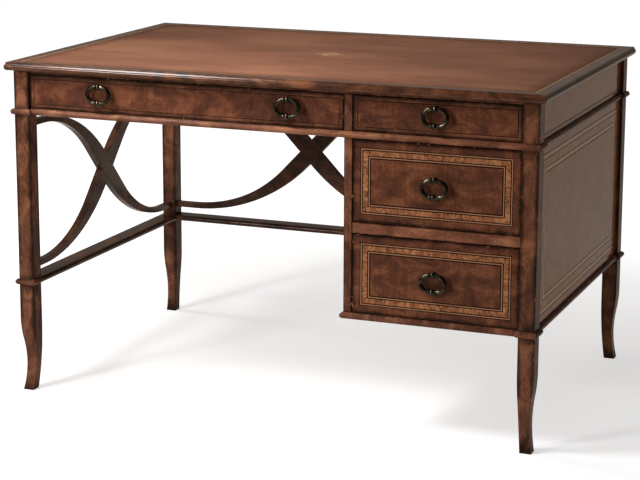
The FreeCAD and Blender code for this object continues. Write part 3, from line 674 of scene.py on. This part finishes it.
def look_of(node):
    """The shades and the polish of a frame board."""
    if node in CURVED_BOARDS:
        return DARK_SHADES, WAXED
    if node.startswith("top_edge_"):
        return EDGE_SHADES, RUBBED_EDGE
    if node in LIGHT_RAILS:
        return RAIL_SHADES, SATIN
    return FRAME_SHADES, SATIN


for seed, node in enumerate(FRAME_BOARDS + CURVED_BOARDS, start=FRAME_SEED):
    shades, finish = look_of(node)
    reach, levels = (LEG_REACH, leg_levels) if node.startswith("leg_") else (BOARD_REACH, ())
    board = ease(node, EASE)
    finish_with(board, plank("mahogany_" + node, node, shades, finish, seed, reach, levels))
    print(board.name, len(board.data.polygons), "faces")

# %% [markdown]
# ## Inlay on the fronts and the end panel
# The pedestal drawers carry two fine strings of pale wood with a band of cross-cut veneer between them,
# and the end panel a wider border of the same kind. The frieze drawers only have a scratched line near the
# edge, which is cut in the solid. Inlay lies flush, so it is colour and not shape: the material measures
# how far a point is from the edge of the face, and each line or band is a range of that distance.

# %% Lines by their distance
SCRIBED_TONE = "#160C07"


def between(tree, edge, start, end):
    """One where the distance from an edge is in this range in mm, and zero elsewhere."""
    middle = (start + end) / 2 * MM
    reach = (end - start) / 2 * MM
    return put(tree, "Math", {0: edge, 1: middle, 2: reach}, operation="COMPARE")


def inlay(tree, colour, edge, lines):
    """Lays lines into a face: each has a start and an end, in mm from its edge, and a wood of its own."""
    for start, end, wood in lines:
        inside = between(tree, edge, start, end)
        paint = tone(wood) if isinstance(wood, str) else wood
        colour = put(tree, "Mix", {"Factor": inside, "A": colour, "B": paint}, data_type="RGBA")
    return colour


def scribed(tree, edge, lines):
    """One in the scribed lines of an inlay, which no polish reaches, and zero elsewhere."""
    cut = 0.0
    for start, end, wood in lines:
        if wood == SCRIBED_TONE:
            inside = between(tree, edge, start, end)
            cut = put(tree, "Math", {0: inside, 1: cut}, operation="MAXIMUM")
    return cut


# %% [markdown]
# ### Cross-cut bands
# The grain of a cross-cut band runs square to the edge that the band follows, so two veneers meet at each
# corner in a mitre. That needs the way to the side edges and the way to the top or bottom apart: each
# point takes the veneer of the edge that it is nearer to.

# %% Edges of a face and bands along them
BAND_SHADES = ("#583424", "#875639", "#B17D55")
BAND_CLOUD = (9, 16)


def face_edge(tree, place, low, high, across, up):
    """Distances from a point on a face to its sides, to its top or bottom, and to the nearest of them."""
    inside = face_distances(tree, place, low, high)
    nearest = put(tree, "Math", {0: inside[across], 1: inside[up]}, operation="MINIMUM")
    return inside[across], inside[up], nearest


def cross_band(tree, place, to_side, to_rail, side_grain, seed):
    """Veneer whose grain runs square to the nearest edge, mitred at the corners."""
    upright, _ = wood_figure(tree, place, "z", BAND_SHADES, seed, BAND_CLOUD)
    lying, _ = wood_figure(tree, place, side_grain, BAND_SHADES, seed + 1, BAND_CLOUD)
    by_rail = put(tree, "Math", {0: to_rail, 1: to_side}, operation="LESS_THAN")
    return put(tree, "Mix", {"Factor": by_rail, "A": lying, "B": upright}, data_type="RGBA")


# %% [markdown]
# ### Pedestal drawers
# On the two deep fronts each pale string lies between two scribed lines, and the band of veneer fills the
# space between the inner ones. All of them are given as millimetres from the edge of the front.

# %% Pedestal drawer fronts
STRING_TONE = "#987054"
DRAWER_STRINGS = (
    (16.5, 18.5, SCRIBED_TONE), (18.5, 20.5, STRING_TONE), (20.5, 22.9, SCRIBED_TONE),
    (33.2, 35.6, SCRIBED_TONE), (35.6, 37.6, STRING_TONE), (37.6, 40.4, SCRIBED_TONE),
)
DRAWER_BAND = (22.9, 33.2)
FRONT_REACH = 9 * MM
PEDESTAL_EASE = 0.5 * MM
FRONT_SEED = 60
BAND_SEED = 70

for number, name in enumerate(("upper", "lower")):
    node = name + "_drawer_front"
    low, high = corners_of(node)
    material, tree, place = start_material("inlaid_mahogany_" + name)
    to_side, to_rail, edge = face_edge(tree, place, low, high, "X", "Z")
    colour, height = wood_figure(tree, place, "x", FRONT_SHADES, FRONT_SEED + number, strokes="z")
    colour = glaze_shade_and_wear(tree, place, colour, height, low, high, FRONT_REACH)
    band = cross_band(tree, place, to_side, to_rail, "x", BAND_SEED + number)
    colour = inlay(tree, colour, edge, ((*DRAWER_BAND, band), *DRAWER_STRINGS))
    front = ease(node, PEDESTAL_EASE)
    finish_with(front, polish(material, tree, colour, height, **SATIN))
    print(front.name, len(front.data.polygons), "faces")

# %% [markdown]
# ### Frieze drawers
# The two shallow fronts have no inlay. Outside the scratched line runs a border of the frame's own wood,
# and the glaze and painted shade come last, so they also lie over the border.

# %% Frieze drawer fronts
LINE_INSET = 8.5
LINE_WIDTH = 1.6
FRIEZE_EASE = 0.4 * MM
FRIEZE_SEED = 80
BORDER_SEED = 90

for number, name in enumerate(("wide", "small")):
    node = name + "_drawer_front"
    low, high = corners_of(node)
    material, tree, place = start_material("scratched_mahogany_" + name)
    _, _, edge = face_edge(tree, place, low, high, "X", "Z")
    colour, height = wood_figure(tree, place, "x", FRONT_SHADES, FRIEZE_SEED + number, strokes="z")
    border, _ = wood_figure(tree, place, "x", FRAME_SHADES, BORDER_SEED + number)
    scratch = (LINE_INSET, LINE_INSET + LINE_WIDTH, SCRIBED_TONE)
    colour = inlay(tree, colour, edge, ((0, LINE_INSET, border), scratch))
    colour = glaze_shade_and_wear(tree, place, colour, height, low, high, FRONT_REACH)
    front = ease(node, FRIEZE_EASE)
    finish_with(front, polish(material, tree, colour, height, **SATIN))
    print(front.name, len(front.data.polygons), "faces")

# %% [markdown]
# ### The end panel
# The right end is one panel between two legs, with a border of two pale strips and a darker band between
# them, all set off by scribed lines. The apron above has one scribed line. The panel is polished until it
# mirrors the floor, and only the scribed lines stay dull, so they show in the reflection. Both boards run
# on behind the legs, so the border is measured from the edge of what shows, which the neighbours' boxes
# give.

# %% What shows of the end
_, front_leg_high = corners_of("leg_front_right")
back_leg_low, _ = corners_of("leg_back_right")
shown_front = front_leg_high.y
shown_back = back_leg_low.y
print("end panel shows from y", round(shown_front, 4), "to", round(shown_back, 4))

# %% [markdown]
# The end boards were eased with the rest of the frame, so they only get a new material. Their border is
# laid in the same way as on the drawers, with y in place of x. Their wood gets lighter shades than the
# frame's: painted light on the end, which the lamps leave in shade.

# %% End panel and apron
END_STRING_TONE = "#B88A62"
END_LINES = (
    (18.2, 20.0, SCRIBED_TONE), (20.0, 28.2, END_STRING_TONE), (28.2, 29.8, SCRIBED_TONE),
    (47.2, 48.8, SCRIBED_TONE), (48.8, 57.0, END_STRING_TONE), (57.0, 58.8, SCRIBED_TONE),
)
END_BAND = (29.8, 47.2)
# Lighter than the frame's shades: painted light on the shaded end.
LIGHTENED_END_SHADES = ("#784830", "#885436", "#986040")
APRON_LINE = ((9.0, 10.8, SCRIBED_TONE),)
END_SEED = 100
APRON_SEED = 104


def end_board(node, bottom, top, seed, lines, band=None):
    """Repaints an eased end board with a border measured from the edge of what shows."""
    low, high = corners_of(node)
    seen_low = Vector((low.x, shown_front, bottom))
    seen_high = Vector((high.x, shown_back, top))
    material, tree, place = start_material("inlaid_mahogany_" + node)
    to_side, to_rail, edge = face_edge(tree, place, seen_low, seen_high, "Y", "Z")
    colour, height = wood_figure(tree, place, "y", LIGHTENED_END_SHADES, seed)
    if band:
        veneer = cross_band(tree, place, to_side, to_rail, "y", seed + 1)
        colour = inlay(tree, colour, edge, ((*band, veneer),))
    colour = inlay(tree, colour, edge, lines)
    polish(material, tree, colour, height, **FULL_POLISH, dull=scribed(tree, edge, lines))
    finish_with(bpy.data.objects[node + "_eased"], material)
    print(node, "shows from z", round(bottom, 4), "to", round(top, 4))


_, base_high = corners_of("pedestal_base")
bead_low, bead_high = corners_of("bead_rail_right")
top_low, _ = corners_of("top_edge_right")
end_board("pedestal_side_right", base_high.z, bead_low.z, END_SEED, END_LINES, END_BAND)
end_board("apron_right", bead_high.z, top_low.z, APRON_SEED, APRON_LINE)

# %% [markdown]
# ## The writing leather
# A full hide is skived to under two millimetres and glued down between the edge boards. It is a sheet, cut
# to the field, so it is modelled from a plane: insets draw a narrow track near the edge, and cuts divide
# the wide field inside it.

# %% Leather sheet
TRACK_INSETS = (0.8, 0.3, 2.2, 0.3)
HIDE_CUTS = 24

leather_low, leather_high = corners_of("writing_leather")
leather_size = leather_high - leather_low
leather_middle = (leather_low + leather_high) / 2

bpy.ops.object.select_all(action="DESELECT")
bpy.ops.mesh.primitive_plane_add(size=1, location=(0, 0, 0))
hide = bpy.context.object
hide.name = "writing_hide"
bpy.ops.object.mode_set(mode="EDIT")
bpy.ops.transform.resize(value=(leather_size.x, leather_size.y, 1))
bpy.ops.transform.translate(value=(leather_middle.x, leather_middle.y, leather_high.z))
for width in TRACK_INSETS:
    bpy.ops.mesh.inset(thickness=width * MM, use_boundary=True)
bpy.ops.mesh.subdivide(number_cuts=HIDE_CUTS)
bpy.ops.object.mode_set(mode="OBJECT")
print("leather field", [round(v, 4) for v in leather_size])

# %% [markdown]
# The hot roll that lays the gilt line also presses it in, so the points of the track are selected by their
# way from the edge and moved down. Solidify then gives the sheet its thickness, below the face that shows.

# %% Pressed track and thickness
TRACK = (1.0, 3.4)
PRESSED = 0.35 * MM
LEATHER_THICK = 1.6 * MM
BELOW = -1.0


def from_edge(point):
    """How far a point of the hide is from the hide's edge, in mm."""
    away_x = leather_size.x / 2 - abs(point.x - leather_middle.x)
    away_y = leather_size.y / 2 - abs(point.y - leather_middle.y)
    return min(away_x, away_y) / MM


for corner in hide.data.vertices:
    corner.select = TRACK[0] < from_edge(corner.co) < TRACK[1]
bpy.ops.object.mode_set(mode="EDIT")
bpy.ops.transform.translate(value=(0, 0, -PRESSED))
bpy.ops.object.mode_set(mode="OBJECT")
thick = hide.modifiers.new("thickness", "SOLIDIFY")
thick.thickness = LEATHER_THICK
thick.offset = BELOW
bpy.ops.object.modifier_apply(modifier=thick.name)
bpy.ops.object.shade_smooth_by_angle(angle=SMOOTH_UP_TO)
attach(hide, "desk")
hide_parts("writing_leather")
print("hide", [round(v, 4) for v in hide.dimensions], len(hide.data.polygons), "faces")

# %% [markdown]
# ### Dye
# Aniline dye soaks in unevenly, so the hide is a clouded chestnut brown, drawn out along the desk, and
# it is darker within some centimetres of its edges.

# %% Aniline leather, dyed
HIDE_SHADES = ("#875A45", "#93634D", "#A37156")
HIDE_CLOUD = (180, 360)
HIDE_NOISE = {"Detail": 6.0, "Roughness": 0.6}
# The hide darkens towards its edges within this reach, in metres.
HIDE_EDGE_TONE = "#46291B"
HIDE_EDGE_REACH = 0.05
HIDE_EDGE_DARK = 0.5

material, tree, place = start_material("aniline_leather_tooled")
_, _, edge = face_edge(tree, place, leather_low, leather_high, "X", "Y")
cloud = cells(tree, place, "TexNoise", "x", HIDE_CLOUD, **HIDE_NOISE)
dyed = put(tree, "ValToRGB", {"Fac": cloud})
set_stops(dyed, SHADE_STOPS, HIDE_SHADES)
darker_to_edges = put(tree, "MapRange", {
    "Value": edge,
    "From Min": 0.0, "From Max": HIDE_EDGE_REACH,
    "To Min": HIDE_EDGE_DARK, "To Max": 0.0,
}, interpolation_type="SMOOTHSTEP")
shaded = put(tree, "Mix", {"Factor": darker_to_edges, "A": dyed, "B": tone(HIDE_EDGE_TONE)}, data_type="RGBA")
print("hide dyed", HIDE_SHADES)

# %% [markdown]
# ### Gilding
# The gilt line follows the pressed track. In the middle sits a small tooled lozenge: its lines are ranges
# of the distance from the middle, measured along both sides and added up. Old gilding is broken, so a
# stipple lets the leather show through the lozenge.

# %% Gilt line and lozenge
GILT_TONE = "#D6B688"
STIPPLE_SIZE = (3, 3)
STIPPLE_NOISE = {"Detail": 2.0}
STIPPLE_LOW = 0.45
STIPPLE_HIGH = 0.55
GILT_WORN = 0.15
GILT_WHOLE = 0.8
LOZENGE = ((29.0, 33.0), (10.0, 24.0))

stipple = cells(tree, place, "TexNoise", "x", STIPPLE_SIZE, **STIPPLE_NOISE)
gilded = put(tree, "MapRange", {
    "Value": stipple,
    "From Min": STIPPLE_LOW, "From Max": STIPPLE_HIGH,
    "To Min": GILT_WORN, "To Max": GILT_WHOLE,
})
gilt = put(tree, "Mix", {"Factor": gilded, "A": shaded, "B": tone(GILT_TONE)}, data_type="RGBA")
tooled = inlay(tree, shaded, edge, ((*TRACK, GILT_TONE),))
off = put(tree, "VectorMath", {0: place, 1: leather_middle}, operation="SUBTRACT")
away = put(tree, "VectorMath", {0: off}, operation="ABSOLUTE")
sides = put(tree, "SeparateXYZ", {"Vector": away}).outputs
from_middle = put(tree, "Math", {0: sides["X"], 1: sides["Y"]}, operation="ADD")
tooled = inlay(tree, tooled, from_middle, [(*ring, gilt) for ring in LOZENGE])
print("gilt line at", TRACK, "mm and", len(LOZENGE), "lozenge lines")

# %% [markdown]
# ### Pebble
# Leather has a fine pebble, drawn a little coarse so that it shows, and a soft sheen that follows the dye.

# %% Pebbled skin
PEBBLE_SIZE = (2.6, 2.6)
PEBBLE_BUMP = 0.3
PEBBLE_DEPTH = 0.3 * MM
HIDE_SMOOTH = 0.48
HIDE_ROUGH = 0.62
HIDE_GLOSS = 0.06

pebble = cells(tree, place, "TexVoronoi", "x", PEBBLE_SIZE)
bump = put(tree, "Bump", {"Strength": PEBBLE_BUMP, "Distance": PEBBLE_DEPTH, "Height": pebble})
sheen = put(tree, "MapRange", {
    "Value": cloud,
    "From Min": FIGURE_LOW, "From Max": FIGURE_HIGH,
    "To Min": HIDE_SMOOTH, "To Max": HIDE_ROUGH,
})
skin = put(tree, "BsdfPrincipled", {
    "Base Color": tooled,
    "Roughness": sheen,
    "Specular IOR Level": HIDE_GLOSS,
    "Normal": bump,
})
put(tree, "OutputMaterial", {"Surface": skin})
finish_with(hide, material)
print("hide finished with", material.name)

# %% [markdown]
# ## Bronze pulls
# The rings and their posts are cast bronze under a dark patina, waxed until it gleams. The metal is an
# even dark grey brown with little change of tone, and a fairly low roughness gives the glints that make
# the rings stand out from the wood. The shapes are already right in the solids, so those nodes stay and
# only get the metal.

# %% Patinated bronze
PATINA_TONE = "#2A251E"
WAXED_TONE = "#564E40"
PATCH_SIZE = (7, 7)
PATCH_NOISE = {"Detail": 5.0}
PATCH_STOPS = (0.40, 0.65)
PATINA_ROUGH = 0.32
WAXED_ROUGH = 0.20
CAST_BUMP = 0.15
CAST_DEPTH = 0.2 * MM

bronze, tree, place = start_material("patinated_bronze")
patch = cells(tree, place, "TexNoise", "x", PATCH_SIZE, **PATCH_NOISE)
metal_tone = put(tree, "ValToRGB", {"Fac": patch})
set_stops(metal_tone, PATCH_STOPS, (PATINA_TONE, WAXED_TONE))
metal_rough = put(tree, "MapRange", {
    "Value": patch,
    "From Min": FIGURE_LOW, "From Max": FIGURE_HIGH,
    "To Min": PATINA_ROUGH, "To Max": WAXED_ROUGH,
})
pitted = put(tree, "Bump", {"Strength": CAST_BUMP, "Distance": CAST_DEPTH, "Height": patch})
cast = put(tree, "BsdfPrincipled", {
    "Base Color": metal_tone,
    "Metallic": 1.0,
    "Roughness": metal_rough,
    "Normal": pitted,
})
put(tree, "OutputMaterial", {"Surface": cast})

for node, piece in frame["nodes"].items():
    if slot_of[node] == "bronze":
        piece.material_slots[0].material = bronze
        print("bronze:", node)

# %% [markdown]
# ## Inside work
# Drawer boxes, bearers and runners are plain poplar, planed and sealed but not stained. It is pale, has
# faint straight grain and hardly shines. Inside boards that were eased for the outside are hidden by now,
# and are passed over.

# %% Poplar
POPLAR_SHADES = ("#A98456", "#C29C6C", "#D2B184")
POPLAR_CLOUD = (16, 120)
PLANED = {"smooth": 0.5, "rough": 0.65, "relief": 0.1 * MM, "gloss": 0.1}
POPLAR_SEED = 200

for number, (node, piece) in enumerate(frame["nodes"].items()):
    if slot_of[node] != "inner_wood" or piece.hide_render:
        continue
    grain = long_axis(*corners_of(node))
    poplar, tree, place = start_material("poplar_" + node)
    colour, height = wood_figure(tree, place, grain, POPLAR_SHADES, POPLAR_SEED + number, POPLAR_CLOUD)
    polish(poplar, tree, colour, height, **PLANED)
    piece.material_slots[0].material = poplar
    print("poplar:", node)

# %% [markdown]
# The screws under the top are plain steel. Turning leaves fine marks, which make the metal slightly dull
# and uneven.

# %% Turned steel
STEEL_TONE = "#B8B6B2"
TURNING_SIZE = (0.6, 0.6)
STEEL_SMOOTH = 0.28
STEEL_ROUGH = 0.42

steel, tree, place = start_material("turned_steel")
turning = cells(tree, place, "TexNoise", "x", TURNING_SIZE)
steel_rough = put(tree, "MapRange", {
    "Value": turning,
    "From Min": FIGURE_LOW, "From Max": FIGURE_HIGH,
    "To Min": STEEL_SMOOTH, "To Max": STEEL_ROUGH,
})
turned = put(tree, "BsdfPrincipled", {
    "Base Color": tone(STEEL_TONE),
    "Metallic": 1.0,
    "Roughness": steel_rough,
})
put(tree, "OutputMaterial", {"Surface": turned})
frame["nodes"]["top_screws"].material_slots[0].material = steel
print("steel: top_screws")
